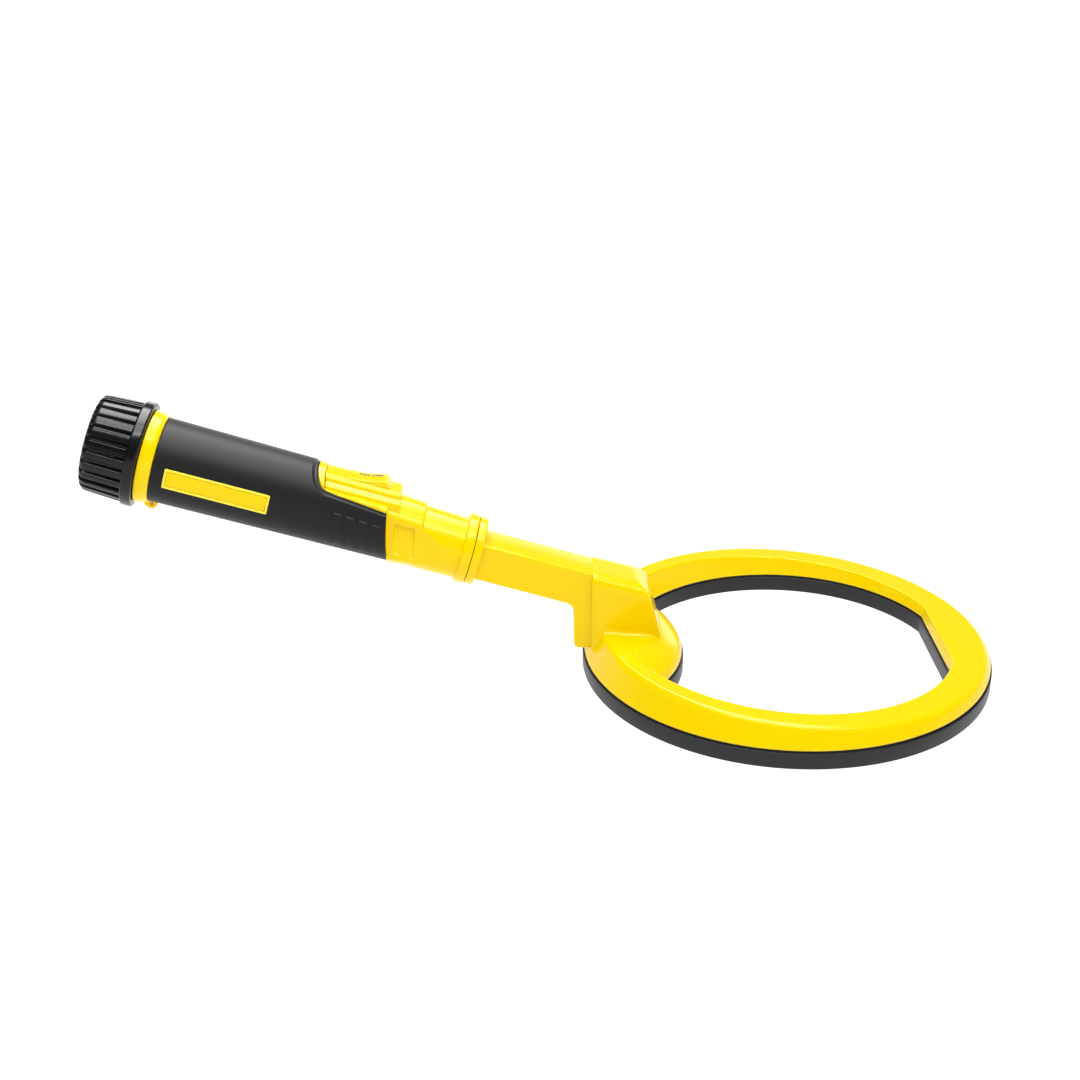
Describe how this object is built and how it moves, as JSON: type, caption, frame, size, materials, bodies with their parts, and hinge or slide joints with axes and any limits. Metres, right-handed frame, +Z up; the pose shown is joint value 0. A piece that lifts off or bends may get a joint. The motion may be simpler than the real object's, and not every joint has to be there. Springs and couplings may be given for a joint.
{
  "type": "underwater metal detector",
  "caption": "Hand-held underwater metal detector: rubber-gripped handle with slide switch and ribbed screw cap, and a plug-in ring-shaped search coil on an angled arm.",
  "frame": {"origin": "middle of the bounding box at floor level, under the stem", "axes": "+X from the end cap to the coil's tip, +Z up, Y across the coil"},
  "size_m": [0.4352, 0.2, 0.142],
  "materials": {
    "yellow_plastic": "satin moulded yellow plastic",
    "grip_rubber": "matte moulded rubber",
    "label_plastic": "satin yellow plate",
    "cap_plastic": "glossy black plastic",
    "skid_plastic": "satin black plastic",
    "seal_rubber": "soft sealing rubber",
    "cell_jacket": "metal cell jacket",
    "inner_plastic": "grey moulded plastic",
    "spigot_plastic": "black moulded plastic",
    "contact_brass": "bright brass",
    "spring_steel": "bright steel",
    "board_laminate": "green laminate",
    "chip_plastic": "black component plastic",
    "capacitor_can": "bare can",
    "lead_rubber": "cable jacket",
    "winding_copper": "enamelled copper wire, bundled",
    "potting_resin": "cast polyurethane"
  },
  "bodies": {
    "handle": {"handle_housing": "yellow_plastic", "grip_sleeve": "grip_rubber", "label_plate_left": "label_plastic", "label_plate_right": "label_plastic", "switch_deck": "yellow_plastic", "lanyard_collar": "yellow_plastic", "neck_ring": "seal_rubber", "battery_cell": "cell_jacket", "front_contact": "contact_brass", "battery_holder": "inner_plastic", "return_strip": "contact_brass", "sounder_disc": "contact_brass", "board_carrier": "inner_plastic", "circuit_board": "board_laminate", "board_screws": "spring_steel", "control_chip": "chip_plastic", "pulse_driver": "chip_plastic", "storage_capacitor": "capacitor_can", "field_sensor": "chip_plastic", "vibration_motor": "spring_steel", "socket_block": "inner_plastic", "socket_contacts": "contact_brass"},
    "switch": {"thumb_slider": "yellow_plastic", "slider_magnet": "spring_steel"},
    "cap_seal": {"cap_gasket": "seal_rubber"},
    "cap": {"end_cap": "cap_plastic", "cap_contact": "contact_brass", "battery_spring": "spring_steel"},
    "motor_rotor": {"motor_weight": "spring_steel"},
    "coil": {"coil_shell": "yellow_plastic", "coil_spigot": "spigot_plastic", "spigot_rings": "seal_rubber", "plug_insert": "inner_plastic", "contact_pins": "contact_brass", "coil_lead": "lead_rubber", "search_winding": "winding_copper", "coil_potting": "potting_resin", "skid_plate": "skid_plastic"}
  },
  "joints": [
    {"name": "switch_slide", "type": "slide", "parent": "handle", "child": "switch", "axis": [0.9563, 0, -0.2924], "range_m": [0, 0.004]},
    {"name": "cap_travel", "type": "slide", "parent": "handle", "child": "cap_seal", "axis": [-0.9563, 0, 0.2924], "range_m": [0, 0.009]},
    {"name": "cap_turn", "type": "hinge", "parent": "cap_seal", "child": "cap", "pos_m": [-0.19734, 0, 0.11632], "axis": [-0.9563, 0, 0.2924], "range_deg": [0, 1080]},
    {"name": "motor_spin", "type": "hinge", "parent": "handle", "child": "motor_rotor", "pos_m": [-0.13098, 0, 0.08746], "axis": [0.9563, 0, -0.2924], "continuous": true},
    {"name": "coil_pull", "type": "slide", "parent": "handle", "child": "coil", "axis": [0.9563, 0, -0.2924], "range_m": [0, 0.034]}
  ],
  "couplings": [
    {"joint": "cap_travel", "follows": "cap_turn", "m_per_rad": 0.000477}
  ]
}
